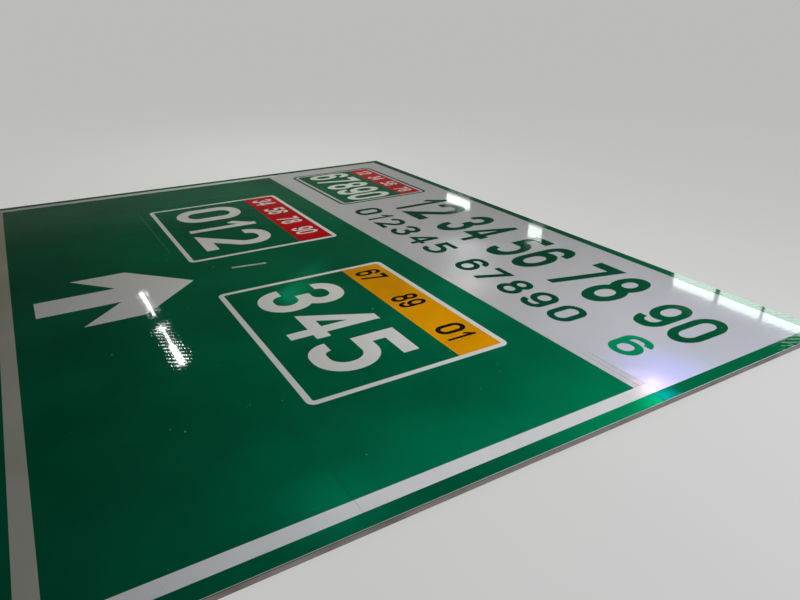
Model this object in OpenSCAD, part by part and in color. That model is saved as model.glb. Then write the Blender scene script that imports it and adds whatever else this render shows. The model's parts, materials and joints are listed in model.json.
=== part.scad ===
// Large direction sign panel for a road gantry, lying face up on its edge angles.
// X runs along the sign's width (reading direction), Y up the sign as it is read, Z out of its face.
// The origin is on the floor, under the middle of the panel. All sizes are in millimetres.

/* [Panel] */
// Width of the panel, along its rails
panel_w = 4760; // [4700:10:6000]
// Height of the panel, from the sign's bottom edge to its top edge
panel_h = 3680; // [3640:10:3720]
// Thickness of the aluminium face sheets
sheet_t = 3; // [2:0.5:4]
// Height of the lower sheet
lower_sheet_h = 1063; // [1055:1:1075]
// Height of the middle sheet
middle_sheet_h = 1383; // [1375:1:1395]
// Gap left between two sheets at a seam
seam_gap = 1; // [0.5:0.1:2]

/* [Edge angles] */
// Length of each leg of the edge angle
angle_leg = 25; // [22:1:40]
// Thickness of the edge angle
angle_t = 3; // [2:0.5:4]
// Radius of the fillet inside the angle
angle_fillet = 2; // [1:0.5:3]

/* [Seam strips] */
// Width of the strip that backs each seam
seam_strip_w = 60; // [40:5:80]
// Thickness of the seam backing strip
seam_strip_t = 3; // [2:0.5:4]

/* [Rails] */
// Distance from one rail to the next
rail_pitch = 510; // [490:5:520]
// Width of a rail over its riveting flanges
rail_w = 90; // [80:1:100]
// Height of a rail off the back of the sheet
rail_h = 18; // [16:0.5:20]
// Thickness of the rail's base at its middle
rail_base_t = 2.5; // [2:0.5:3]
// Thickness of the rail's flanges at their outer edge
flange_tip_t = 1.8; // [1.5:0.1:2.5]
// Thickness of the rail's side walls
rail_wall_t = 2.5; // [2:0.5:3]
// Width of the raised channel over its side walls
channel_w = 54; // [48:1:60]
// Width of the slot between the lips
slot_w = 28; // [20:1:32]
// Thickness of the lips
lip_t = 2.5; // [2:0.5:3]
// How far the inner edge of each lip turns back into the channel
lip_hook = 1.5; // [0.5:0.5:2.5]
// Distance from the panel's edge to each end of a rail
rail_end_gap = 80; // [60:5:120]

/* [Film] */
// Thickness of one layer of reflective film
film_t = 0.5; // [0.4:0.1:0.8]
// Width of the green strip outside the white border
green_edge = 66; // [50:1:80]
// Width of the white border tape
tape_w = 68; // [50:1:80]
// Height on the sign where the green field meets the white band
band_y = 573; // [560:1:580]
// Thin gap left where two lengths of film meet
film_joint = 1; // [0.5:0.1:2]
// Height on the sign of the joint in the right edge strip
strip_joint_y = 1539; // [1400:1:1650]
// Gap at the joint in the right edge strip
strip_joint = 4; // [2:0.5:6]

/* [Arrow] */
// Centre line of the arrow
arrow_x = 25; // [-100:5:100]
// Height on the sign of the arrow's tail
arrow_tail_y = -1600; // [-1650:5:-1580]
// Length from the tail to the tip
arrow_len = 860; // [800:5:900]
// Width across the head
arrow_w = 705; // [600:5:800]
// Width of the shaft
arrow_shaft_w = 222; // [180:2:260]
// Distance from the tip down to the head's square shoulders
arrow_shoulder = 340; // [300:5:380]
// Distance from the tip down to the tips of the barbs
arrow_barb = 652; // [600:2:700]
// Distance from the tip down to the notch beside the shaft
arrow_notch = 430; // [400:2:460]

/* [Shields] */
// Centre line of the left shield
shield_left_x = -942; // [-960:1:-920]
// Centre line of the right shield
shield_right_x = 990; // [970:1:1010]
// Height on the sign of the shields' bottom edge
shield_y = -684; // [-690:1:-660]
// Width of a shield
shield_w = 1330; // [1200:5:1400]
// Height of a shield
shield_h = 1060; // [1000:5:1100]
// Width of the shield's white outline
shield_line = 30; // [20:1:40]
// Outer corner radius of the shield's outline
shield_r = 40; // [34:1:60]
// Height of the coloured band in the shield's head
head_band_h = 250; // [220:5:280]

/* [Shield in the white band] */
// Centre line of the shield in the white band
band_shield_x = -1560; // [-1570:1:-1540]
// Height on the sign of its bottom edge
band_shield_y = 757; // [750:1:770]
// Width of the shield over its green rim
band_shield_w = 1140; // [1100:5:1160]
// Height of the shield over its green rim
band_shield_h = 850; // [800:5:900]
// Width of the green rim
band_rim = 22; // [15:1:30]
// Width of the white ground left showing between rim and field
band_line = 26; // [20:1:35]
// Outer corner radius of the rim
band_shield_r = 60; // [55:1:80]
// Height of the coloured band in its head
band_head_h = 200; // [180:5:220]

/* [Hidden] */
$fn = 32;

bare = "silver";
green = [0.00, 0.36, 0.22];
white = [0.86, 0.85, 0.88];
amber = [0.90, 0.58, 0.05];
red = [0.72, 0.06, 0.07];

right = panel_w / 2;
top = panel_h / 2;
bottom = -top;
lower_seam_y = bottom + lower_sheet_h;
upper_seam_y = lower_seam_y + middle_sheet_h;

// Number of slotted rails on the back, one node each
rail_count = 7;

// Levels, from the floor up
sheet_z = angle_leg;
ground_z = sheet_z + sheet_t;
mark_z = ground_z + film_t;

// Height on the sign where the head of the shield in the white band begins
band_head_y = band_shield_y + band_shield_h - band_rim - band_line - band_head_h;

// The border tapes' outer and inner edges
tape_out_x = right - green_edge;
tape_in_x = tape_out_x - tape_w;
tape_out_y = bottom + green_edge;
tape_in_y = tape_out_y + tape_w;

// A flat piece between two corners, with its underside at z
module flat(lo, hi, z, t) {
    translate([lo[0], lo[1], z])
        cube([hi[0] - lo[0], hi[1] - lo[1], t]);
}

// A flat piece of any outline, with its underside at z
module cut_film(z) {
    translate([0, 0, z])
        linear_extrude(film_t)
            children();
}

// One aluminium face sheet across the whole width
module face_sheet(y0, y1) {
    color(bare)
        flat([-right, y0], [right, y1], sheet_z, sheet_t);
}

module sheet_lower() {
    face_sheet(bottom, lower_seam_y - seam_gap / 2);
}

module sheet_middle() {
    face_sheet(lower_seam_y + seam_gap / 2, upper_seam_y - seam_gap / 2);
}

module sheet_upper() {
    face_sheet(upper_seam_y + seam_gap / 2, top);
}

// Flat bar riveted across a seam, between the left and right edge angles
module seam_strip(y) {
    reach = right - angle_leg - 2;
    color(bare)
        flat([-reach, y - seam_strip_w / 2], [reach, y + seam_strip_w / 2],
             sheet_z - seam_strip_t, seam_strip_t);
}

// Section of the edge angle: the outer face is on x = 0 and the sheet rests on its top
module angle_section() {
    difference() {
        translate([-angle_leg, 0])
            square(angle_leg);
        translate([-angle_leg - 1, -1])
            square([angle_leg - angle_t - angle_fillet + 1, angle_leg - angle_t + 1]);
        translate([-angle_leg - 1, -1])
            square([angle_leg - angle_t + 1, angle_leg - angle_t - angle_fillet + 1]);
        translate([-angle_t - angle_fillet, angle_leg - angle_t - angle_fillet])
            circle(angle_fillet);
    }
}

// Edge angle of a given length along Y, its outer face on x = 0, mitred at both ends
module edge_angle(length) {
    color(bare)
        difference() {
            rotate([90, 0, 0])
                linear_extrude(length, center = true)
                    angle_section();
            for (side = [-1, 1])
                translate([0, side * length / 2, -1])
                    rotate(side * 45)
                        translate([-2 * angle_leg, side > 0 ? 0 : -2 * angle_leg, 0])
                            cube([4 * angle_leg, 2 * angle_leg, angle_leg + 2]);
        }
}

module edge_angle_right() {
    translate([right, 0, 0])
        edge_angle(panel_h);
}

module edge_angle_left() {
    mirror([1, 0, 0])
        edge_angle_right();
}

module edge_angle_top() {
    translate([0, top, 0])
        rotate(90)
            edge_angle(panel_w);
}

module edge_angle_bottom() {
    mirror([0, 1, 0])
        edge_angle_top();
}

// Half outline of the rail, from the middle of its back round to its slot, with x from the rail's middle
// and y from the back of the sheet
function rail_half() =
    let (
        half_channel = channel_w / 2,
        half_slot = slot_w / 2,
        wall_in = half_channel - rail_wall_t,
        lip_top = lip_t - rail_h,
        hook_top = lip_top + lip_hook
    )
    [
        [rail_w / 2, 0], [rail_w / 2, -flange_tip_t], [half_channel, -rail_base_t],
        [half_channel, 1 - rail_h], [half_channel - 1, -rail_h], [half_slot, -rail_h],
        [half_slot, hook_top], [half_slot + lip_t, hook_top], [half_slot + lip_t + 1, lip_top],
        [wall_in, lip_top], [wall_in, -rail_base_t]
    ];

// Full section of the rail: riveting flanges against the sheet, a raised channel and a slot between two lips
module rail_section() {
    half = rail_half();
    last = len(half) - 1;
    polygon(concat(half, [for (i = [last:-1:0]) [-half[i][0], half[i][1]]]));
}

// Slotted rail with its slot opening downwards; rails are counted from the sign's bottom edge
module rail(index) {
    length = panel_w - 2 * rail_end_gap;
    y = (index - (rail_count + 1) / 2) * rail_pitch;
    color(bare)
        translate([0, y, sheet_z])
            rotate([90, 0, 90])
                linear_extrude(length, center = true)
                    rail_section();
}

// Ground film laid on one sheet, cut back to the edges of the field
module ground_film(y0, y1, shade) {
    color(shade)
        flat([-right, y0], [right, y1], ground_z, film_t);
}

module ground_film_lower() {
    ground_film(bottom, lower_seam_y - film_joint / 2, green);
}

module ground_film_middle() {
    ground_film(lower_seam_y + film_joint / 2, upper_seam_y - film_joint / 2, green);
}

module ground_film_upper() {
    ground_film(upper_seam_y + film_joint / 2, top, white);
}

// Mitred white tape along the bottom of the green field
module border_tape_bottom() {
    color(white)
        cut_film(mark_z)
            polygon([
                [-tape_out_x, tape_out_y], [tape_out_x, tape_out_y],
                [tape_in_x, tape_in_y], [-tape_in_x, tape_in_y]
            ]);
}

// White tape between the green field and the white band. It lies over the upper seam, between the side tapes.
module border_tape_top() {
    color(white)
        flat([-tape_in_x, band_y], [tape_in_x, band_y + tape_w], mark_z, film_t);
}

// White tape up the right side of the green field, as far as the top edge of the tape over the upper seam.
// It is in two lengths that meet at the lower seam.
module border_tape_right() {
    color(white)
        cut_film(mark_z)
            difference() {
                polygon([
                    [tape_out_x, tape_out_y], [tape_out_x, band_y + tape_w],
                    [tape_in_x, band_y + tape_w], [tape_in_x, tape_in_y]
                ]);
                translate([tape_in_x - 1, lower_seam_y - film_joint / 2])
                    square([tape_w + 2, film_joint]);
            }
}

module border_tape_left() {
    mirror([1, 0, 0])
        border_tape_right();
}

// Green strip down one side of the white band, outside the border tape's line
module edge_strip_left() {
    color(green)
        flat([-right, upper_seam_y], [-tape_out_x, top], mark_z, film_t);
}

module edge_strip_right() {
    color(green) {
        flat([tape_out_x, upper_seam_y], [right, strip_joint_y - strip_joint / 2], mark_z, film_t);
        flat([tape_out_x, strip_joint_y + strip_joint / 2], [right, top], mark_z, film_t);
    }
}

module edge_strip_top() {
    color(green)
        flat([-tape_out_x, top - green_edge], [tape_out_x, top], mark_z, film_t);
}

// Straight arrow with a broad head and swept barbs, pointing up the sign
module arrow_film() {
    half_w = arrow_w / 2;
    half_shaft = arrow_shaft_w / 2;
    color(white)
        cut_film(mark_z)
            translate([arrow_x, arrow_tail_y + arrow_len])
                polygon([
                    [0, 0], [half_w, -arrow_shoulder], [half_w, -arrow_barb],
                    [half_shaft, -arrow_notch], [half_shaft, -arrow_len],
                    [-half_shaft, -arrow_len], [-half_shaft, -arrow_notch],
                    [-half_w, -arrow_barb], [-half_w, -arrow_shoulder]
                ]);
}

// Rectangle with rounded corners, its bottom left corner at the origin
module rounded_rect(w, h, r) {
    translate([r, 0])
        square([w - 2 * r, h]);
    translate([0, r])
        square([w, h - 2 * r]);
    for (x = [r, w - r], y = [r, h - r])
        translate([x, y])
            circle(r);
}

// The field inside a shield's outline
module shield_field() {
    translate([shield_line, shield_line])
        rounded_rect(shield_w - 2 * shield_line, shield_h - 2 * shield_line, shield_r - shield_line);
}

module shield_outline(x) {
    color(white)
        cut_film(mark_z)
            translate([x - shield_w / 2, shield_y])
                difference() {
                    rounded_rect(shield_w, shield_h, shield_r);
                    shield_field();
                }
}

module shield_outline_left() {
    shield_outline(shield_left_x);
}

module shield_outline_right() {
    shield_outline(shield_right_x);
}

// Coloured band in the head of a shield, inside its outline
module shield_head(x, shade) {
    color(shade)
        cut_film(mark_z)
            translate([x - shield_w / 2, shield_y])
                intersection() {
                    shield_field();
                    translate([0, shield_h - shield_line - head_band_h])
                        square([shield_w, head_band_h]);
                }
}

module shield_head_left() {
    shield_head(shield_left_x, red);
}

module shield_head_right() {
    shield_head(shield_right_x, amber);
}

// Outline of the shield in the white band, drawn in from its outer edge by a margin
module band_shield_outline(margin) {
    translate([band_shield_x - band_shield_w / 2 + margin, band_shield_y + margin])
        rounded_rect(band_shield_w - 2 * margin, band_shield_h - 2 * margin, band_shield_r - margin);
}

// Green rim round the shield; the white ground shows as a line between it and the field
module band_shield_rim() {
    color(green)
        cut_film(mark_z)
            difference() {
                band_shield_outline(0);
                band_shield_outline(band_rim);
            }
}

// The field inside the white line, cut off where its head begins, or the head alone
module band_shield_inside(y0, y1) {
    cut_film(mark_z)
        intersection() {
            band_shield_outline(band_rim + band_line);
            translate([band_shield_x - band_shield_w / 2, y0])
                square([band_shield_w, y1 - y0]);
        }
}

module band_shield_field() {
    color(green)
        band_shield_inside(band_shield_y, band_head_y);
}

module band_shield_head() {
    color(red)
        band_shield_inside(band_head_y, band_shield_y + band_shield_h);
}

sheet_lower();
sheet_middle();
sheet_upper();
seam_strip(lower_seam_y);  // seam_strip_lower
seam_strip(upper_seam_y);  // seam_strip_upper
edge_angle_bottom();
edge_angle_top();
edge_angle_left();
edge_angle_right();
rail(1);  // rail_1
rail(2);  // rail_2
rail(3);  // rail_3
rail(4);  // rail_4
rail(5);  // rail_5
rail(6);  // rail_6
rail(7);  // rail_7
ground_film_lower();
ground_film_middle();
ground_film_upper();
border_tape_bottom();
border_tape_top();
border_tape_left();
border_tape_right();
edge_strip_left();
edge_strip_right();
edge_strip_top();
arrow_film();
shield_outline_left();
shield_outline_right();
shield_head_left();
shield_head_right();
band_shield_rim();
band_shield_field();
band_shield_head();
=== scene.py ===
"""Dresses the direction sign panel: films, numerals, rivets, seams and litter, then floor, light and camera.

The panel lies face up on its edge angles. X runs along the sign's width, Y up the sign as it is read and Z
out of its face, and the origin is on the floor under the panel's middle. Sizes are in millimetres and become
metres where a mesh or a light is made. Finishes, the floor and the camera's place are in metres.
"""

import json
import logging
import math
import random
from dataclasses import dataclass
from enum import Enum
from functools import cache, cached_property

import bmesh
import bpy
from mathutils import Matrix, Vector


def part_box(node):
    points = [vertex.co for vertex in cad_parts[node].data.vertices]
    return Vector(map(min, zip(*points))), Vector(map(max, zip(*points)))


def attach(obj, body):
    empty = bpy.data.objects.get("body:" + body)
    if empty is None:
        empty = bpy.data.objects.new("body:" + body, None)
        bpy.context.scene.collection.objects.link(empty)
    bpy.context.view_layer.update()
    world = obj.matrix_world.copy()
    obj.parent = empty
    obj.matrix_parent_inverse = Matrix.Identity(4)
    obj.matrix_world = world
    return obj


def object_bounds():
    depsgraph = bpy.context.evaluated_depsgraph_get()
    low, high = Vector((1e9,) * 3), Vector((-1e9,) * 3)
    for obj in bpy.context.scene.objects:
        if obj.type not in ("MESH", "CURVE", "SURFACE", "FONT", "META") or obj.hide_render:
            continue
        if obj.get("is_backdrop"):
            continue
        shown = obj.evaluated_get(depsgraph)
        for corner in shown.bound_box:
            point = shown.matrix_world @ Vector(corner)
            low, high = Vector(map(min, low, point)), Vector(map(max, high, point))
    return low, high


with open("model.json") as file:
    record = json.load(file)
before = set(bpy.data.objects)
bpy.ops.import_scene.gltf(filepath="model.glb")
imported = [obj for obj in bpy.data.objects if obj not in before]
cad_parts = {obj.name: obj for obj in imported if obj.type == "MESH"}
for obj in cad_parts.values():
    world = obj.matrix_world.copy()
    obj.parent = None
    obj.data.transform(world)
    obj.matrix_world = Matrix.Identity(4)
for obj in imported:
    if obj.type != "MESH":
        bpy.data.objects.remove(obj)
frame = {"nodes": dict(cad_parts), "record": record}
CAD_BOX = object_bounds()

BMesh = bmesh.types.BMesh
BMEdge = bmesh.types.BMEdge
Mesh = bpy.types.Mesh
Material = bpy.types.Material
Socket = bpy.types.NodeSocket
Pair = tuple[float, float]
Triple = tuple[float, float, float]

BODY = "root"
MM = 0.001
FILM_THICKNESS = 0.45
log = logging.getLogger("sign_panel")


class Slot(Enum):
    """The record's material slots."""

    SHEET = "sheet_aluminium"
    EXTRUSION = "extruded_aluminium"
    GREEN = "film_green"
    WHITE = "film_white"
    RED = "film_red"
    AMBER = "film_amber"
    BLACK = "film_black"


def node_box(node: str) -> tuple[Vector, Vector]:
    """Returns a CAD node's lowest and highest corners, in millimetres."""
    low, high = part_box(node)
    return low / MM, high / MM


def mesh_of(bm: BMesh, name: str) -> Mesh:
    """Makes a mesh of a bmesh, which is freed.

    Args:
        bm: the bmesh.
        name: the mesh's name.

    Returns:
        The mesh.
    """
    mesh = bpy.data.meshes.new(name)
    bm.to_mesh(mesh)
    bm.free()
    return mesh


def show(name: str, data: bpy.types.ID) -> bpy.types.Object:
    """Puts a mesh, a light or a camera into the scene.

    Args:
        name: the object's name.
        data: what it shows.

    Returns:
        The new object.
    """
    obj = bpy.data.objects.new(name, data)
    bpy.context.scene.collection.objects.link(obj)
    return obj


def rgba(colour: Triple) -> tuple[float, float, float, float]:
    """Returns an opaque colour with its fourth channel."""
    return (*colour, 1.0)


class Graph:
    """One material's or world's node tree, built with short calls."""

    # What soft noise mostly keeps between.
    BLOBS = (0.3, 0.7)

    def __init__(self, owner: bpy.types.ID) -> None:
        """Empties the owner's node tree.

        Args:
            owner: the material or world whose tree it is.
        """
        owner.use_nodes = True
        self.tree = owner.node_tree
        self.tree.nodes.clear()

    def node(self, kind: str, inputs: dict | None = None, **settings: object) -> bpy.types.Node:
        """Adds a node.

        Args:
            kind: the node's type, without the leading ShaderNode.
            inputs: values or sockets, by the input's name or number; None leaves an input alone.
            **settings: properties of the node itself.

        Returns:
            The new node.
        """
        made = self.tree.nodes.new("ShaderNode" + kind)
        for name, value in settings.items():
            setattr(made, name, value)
        for key, value in (inputs or {}).items():
            if isinstance(value, Socket):
                self.tree.links.new(value, made.inputs[key])
            elif value is not None:
                made.inputs[key].default_value = value
        return made

    @cached_property
    def point(self) -> Socket:
        """Returns the point on the piece, in object coordinates."""
        return self.node("TexCoord").outputs["Object"]

    def maths(self, operation: str, *values: object) -> Socket:
        """Returns the result of one Math node, from numbers or sockets in the node's order."""
        return self.node("Math", dict(enumerate(values)), operation=operation).outputs[0]

    def along(self, place: Socket, direction: Triple) -> Socket:
        """Returns how far a point lies along a direction, whose length scales the answer."""
        return self.node("VectorMath", {0: place, 1: direction}, operation="DOT_PRODUCT").outputs["Value"]

    def span(self, value: Socket, over: Pair, to: Pair) -> Socket:
        """Returns a number eased from one range into another, whose ends hold outside the first."""
        inputs = {"Value": value, "From Min": over[0], "From Max": over[1], "To Min": to[0], "To Max": to[1]}
        return self.node("MapRange", inputs, interpolation_type="SMOOTHSTEP").outputs["Result"]

    def stretched(self, scale: Triple) -> Socket:
        """Returns the point on the piece, scaled by a different amount along each axis."""
        return self.node("Mapping", {"Vector": self.point, "Scale": scale}).outputs["Vector"]

    def noise(self, scale: float, detail: float, place: Socket | None = None) -> Socket:
        """Returns soft blobs of numbers round 0.5, about scale of them to a metre of the point or a place."""
        inputs = {"Vector": place or self.point, "Scale": scale, "Detail": detail}
        return self.node("TexNoise", inputs).outputs["Fac"]

    def cloud(self, noise: Pair, to: Pair, over: Pair = BLOBS) -> Socket:
        """Returns soft noise of some scale and detail, eased into a range."""
        return self.span(self.noise(*noise), over, to)

    def blend(self, share: object, first: object, second: object) -> Socket:
        """Returns a mix of two colours, in which share is how much of the second one shows."""
        return self.node("Mix", {0: share, 6: first, 7: second}, data_type="RGBA").outputs[2]

    def shade(self, colour: Triple, value: Socket) -> Socket:
        """Returns a colour made lighter or darker by a factor."""
        return self.node("HueSaturation", {"Color": rgba(colour), "Value": value}).outputs["Color"]

    def bump(self, height: Socket, distance: float, under: Socket | None = None) -> Socket:
        """Returns a normal bumped by a height, whose 1 stands distance high, over another normal."""
        inputs = {"Height": height, "Distance": distance, "Strength": 1.0, "Normal": under}
        return self.node("Bump", inputs).outputs["Normal"]


@dataclass(frozen=True)
class Finish:
    """What every finish has.

    Attributes:
        name: the material's name.
        slot: the record's slot that it belongs to.
        colour: its main colour.
    """

    name: str
    slot: Slot | None
    colour: Triple

    def material(self) -> Material:
        """Builds the finish's material.

        Returns:
            The material.
        """
        made = bpy.data.materials.new(self.name)
        graph = Graph(made)
        graph.node("OutputMaterial", {"Surface": self.shader(graph).outputs[0]})
        return made


@dataclass(frozen=True)
class FilmFinish(Finish):
    """Prismatic reflective film: a cell layer that sends light back softly, under a smooth clear face.

    Attributes:
        gleam: how much of the light the cells send back as a broad gleam.
        cell: distance between two walls of the cell lattice.
        wall: how strongly the cell walls show.
        mottle: how much the colour varies over the panel.
        ripple: distance between two rows of ripples in the face.
        ripple_depth: how deep those ripples are.
        painted_strip_shade: how much painted shade darkens a stretch of the strip beyond the right border.
    """

    gleam: float = 0.08
    cell: float = 0.0042
    wall: float = 0.10
    mottle: float = 0.16
    ripple: float = 0.034
    ripple_depth: float = 0.00011
    painted_strip_shade: float = 0.0

    # These are scale and detail of soft noise.
    MOTTLE, HAZE, WEAR = (1.3, 3.0), (3.2, 6.0), (5.0, 4.0)
    GRAIN, WAVES, RIPPLES = (260.0, 1.0), (1.6, 1.0), (300.0, 0.0)
    # Every other pair is a range, either of a pattern's raw number or of what that is eased into.
    LEAN, ON_WALL, ON_RIDGE = math.radians(60.0), (0.03, 0.09), (0.16, 0.20)
    ROUGH, WALL_LIGHT = (0.35, 0.42), 1.6
    HAZE_COLOUR, HAZE_OVER, HAZE_SHARE = (0.50, 0.50, 0.47), (0.45, 0.75), 0.004
    DUST_COLOUR, DUST_SHARE = (0.45, 0.45, 0.42), 0.12
    SPECKS, SPECK_CHANCE, SPECK_SIZE = 55.0, (0.7, 1.0), 0.11
    # Where the painted shade on the strip lies: across X, then where it sets in and where it fades along Y.
    DULL_X, DULL_START, DULL_END = (2.29, 2.30), (-0.95, -0.50), (-0.35, 0.20)
    WALL_DEPTH, GRAIN_DEPTH, WAVE_DEPTH, RIPPLE_STRETCH = 0.00008, 0.0001, 0.0009, (0.02, 1.0, 0.02)
    COAT_ROUGH, COAT_IOR = 0.03, 1.49

    def rows(self, graph: Graph, side: int, pitch: float) -> Socket:
        """Returns 0 on the lines of cell rows that lean to one side, rising to 0.5 half way between them."""
        way = (side * math.sin(self.LEAN) / pitch, math.cos(self.LEAN) / pitch, 0.0)
        return graph.maths("PINGPONG", graph.along(graph.point, way), 0.5)

    def lattice(self, graph: Graph) -> Socket:
        """Returns 1 on the walls of the diamond-shaped cells and 0 inside them."""
        walls = (graph.span(self.rows(graph, side, self.cell), self.ON_WALL, (1.0, 0.0)) for side in (-1, 1))
        return graph.maths("MAXIMUM", *walls)

    def specks(self, graph: Graph) -> Socket:
        """Scatters pale dust specks.

        Args:
            graph: the material's tree.

        Returns:
            A socket that is 1 on a speck and 0 elsewhere.
        """
        cells = graph.node("TexVoronoi", {"Vector": graph.point, "Scale": self.SPECKS}).outputs
        chance = graph.node("SeparateColor", {"Color": cells["Color"]}).outputs[0]
        size = graph.span(chance, self.SPECK_CHANCE, (0.0, self.SPECK_SIZE))
        return graph.maths("LESS_THAN", cells["Distance"], size)

    def painted_strip_shade_factor(self, graph: Graph) -> Socket:
        """Paints shade that darkens a stretch of the strip beyond the right border.

        Args:
            graph: the material's tree.

        Returns:
            A socket that is 1 elsewhere and lower on that stretch.
        """
        x, y = (graph.along(graph.point, axis) for axis in ((1.0, 0.0, 0.0), (0.0, 1.0, 0.0)))
        start, end = graph.span(y, self.DULL_START, (0.0, 1.0)), graph.span(y, self.DULL_END, (1.0, 0.0))
        beyond = graph.span(x, self.DULL_X, (0.0, self.painted_strip_shade))
        share = graph.maths("MULTIPLY", beyond, graph.maths("MULTIPLY", start, end))
        return graph.maths("SUBTRACT", 1.0, share)

    def colours(self, graph: Graph, walls: Socket) -> Socket:
        """Lays mottle, painted shade on the strip where the film has it, cell walls, haze and dust over the
        film's colour.

        Args:
            graph: the material's tree.
            walls: where the cell walls are.

        Returns:
            The colour's socket.
        """
        value = graph.cloud(self.MOTTLE, (1.0 - self.mottle, 1.0 + self.mottle))
        # Painted shade on a stretch of the strip beyond the right border.
        if self.painted_strip_shade:
            value = graph.maths("MULTIPLY", value, self.painted_strip_shade_factor(graph))
        lit = rgba(tuple(min(self.WALL_LIGHT * c, 1.0) for c in self.colour))
        walled = graph.blend(graph.maths("MULTIPLY", walls, self.wall), graph.shade(self.colour, value), lit)
        haze = graph.cloud(self.HAZE, (0.0, self.HAZE_SHARE), self.HAZE_OVER)
        dust = graph.maths("MULTIPLY", self.specks(graph), self.DUST_SHARE)
        return graph.blend(dust, graph.blend(haze, walled, rgba(self.HAZE_COLOUR)), rgba(self.DUST_COLOUR))

    def face(self, graph: Graph) -> Socket:
        """Shapes the clear face: slow waves, and fine sideways ripples along one set of cell rows.

        Args:
            graph: the material's tree.

        Returns:
            The face's normal.
        """
        ridge = graph.span(self.rows(graph, -1, self.ripple), self.ON_RIDGE, (1.0, 0.0))
        smooth = graph.bump(graph.noise(*self.WAVES), self.WAVE_DEPTH)
        across = graph.noise(*self.RIPPLES, graph.stretched(self.RIPPLE_STRETCH))
        return graph.blend(ridge, smooth, graph.bump(across, self.ripple_depth, smooth))

    def shader(self, graph: Graph) -> bpy.types.Node:
        """Builds the film's shader.

        Args:
            graph: the material's tree.

        Returns:
            The shader's node.
        """
        walls = self.lattice(graph)
        grain = graph.bump(graph.noise(*self.GRAIN), self.GRAIN_DEPTH)
        return graph.node("BsdfPrincipled", {
            "Base Color": self.colours(graph, walls),
            "Metallic": self.gleam,
            "Roughness": graph.cloud(self.WEAR, self.ROUGH),
            "Specular IOR Level": 0.0,
            "Specular Tint": rgba(tuple(c / max(self.colour) for c in self.colour)),
            "Normal": graph.bump(walls, self.WALL_DEPTH, grain),
            "Coat Weight": 1.0,
            "Coat Roughness": self.COAT_ROUGH,
            "Coat IOR": self.COAT_IOR,
            "Coat Normal": self.face(graph),
        })


class Grain(Enum):
    """How the fine lines of rolled or extruded metal are stretched along each axis."""

    ALONG_X = (1.0, 60.0, 60.0)
    ALONG_Y = (60.0, 1.0, 60.0)


@dataclass(frozen=True)
class AluminiumFinish(Finish):
    """Mill-finish aluminium with the fine lines that rolling or extruding leaves.

    Attributes:
        grain: which way its lines run.
        rough: its roughness where it is clean.
        depth: how deep the lines are.
        smudge: how dark the handling marks are.
        metal: how metallic it looks; cut faces are less metallic.
    """

    grain: Grain
    rough: float = 0.34
    depth: float = 0.00012
    smudge: float = 0.25
    metal: float = 1.0

    # These are scale and detail of soft noise.
    FINE, BANDS, STAINS, WEAR = (14.0, 3.0), (0.6, 2.0), (4.0, 5.0), (9.0, 4.0)
    LINE_COLOUR, LINE_OVER, LINE_SHARE = (0.42, 0.41, 0.40), (0.42, 0.60), 0.22
    STAIN_COLOUR, STAIN_OVER = (0.20, 0.19, 0.17), (0.50, 0.72)
    BAND_SHADES, SMOOTHER, ROUGHER = (0.90, 1.08), 0.06, 0.10

    def shader(self, graph: Graph) -> bpy.types.Node:
        """Builds the metal's shader.

        Args:
            graph: the material's tree.

        Returns:
            The shader's node.
        """
        drawn = graph.stretched(self.grain.value)
        fine = graph.noise(*self.FINE, drawn)
        bands = graph.span(graph.noise(*self.BANDS, drawn), graph.BLOBS, self.BAND_SHADES)
        lines = graph.span(fine, self.LINE_OVER, (0.0, self.LINE_SHARE))
        lined = graph.blend(lines, graph.shade(self.colour, bands), rgba(self.LINE_COLOUR))
        stain = graph.cloud(self.STAINS, (0.0, self.smudge), self.STAIN_OVER)
        return graph.node("BsdfPrincipled", {
            "Base Color": graph.blend(stain, lined, rgba(self.STAIN_COLOUR)),
            "Metallic": self.metal,
            "Roughness": graph.cloud(self.WEAR, (self.rough - self.SMOOTHER, self.rough + self.ROUGHER)),
            "Normal": graph.bump(fine, self.depth),
        })


@dataclass(frozen=True)
class CarrierFinish(Finish):
    """Slightly clouded plastic, as on the pale strips that come off the films' backs."""

    CLOUDS, GRAIN = (45.0, 3.0), (120.0, 2.0)
    SHADES, ROUGH, DEPTH = (0.75, 1.15), 0.35, 0.0002

    def shader(self, graph: Graph) -> bpy.types.Node:
        """Builds the plastic's shader.

        Args:
            graph: the material's tree.

        Returns:
            The shader's node.
        """
        return graph.node("BsdfPrincipled", {
            "Base Color": graph.shade(self.colour, graph.cloud(self.CLOUDS, self.SHADES)),
            "Roughness": self.ROUGH,
            "Normal": graph.bump(graph.noise(*self.GRAIN), self.DEPTH),
        })


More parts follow.
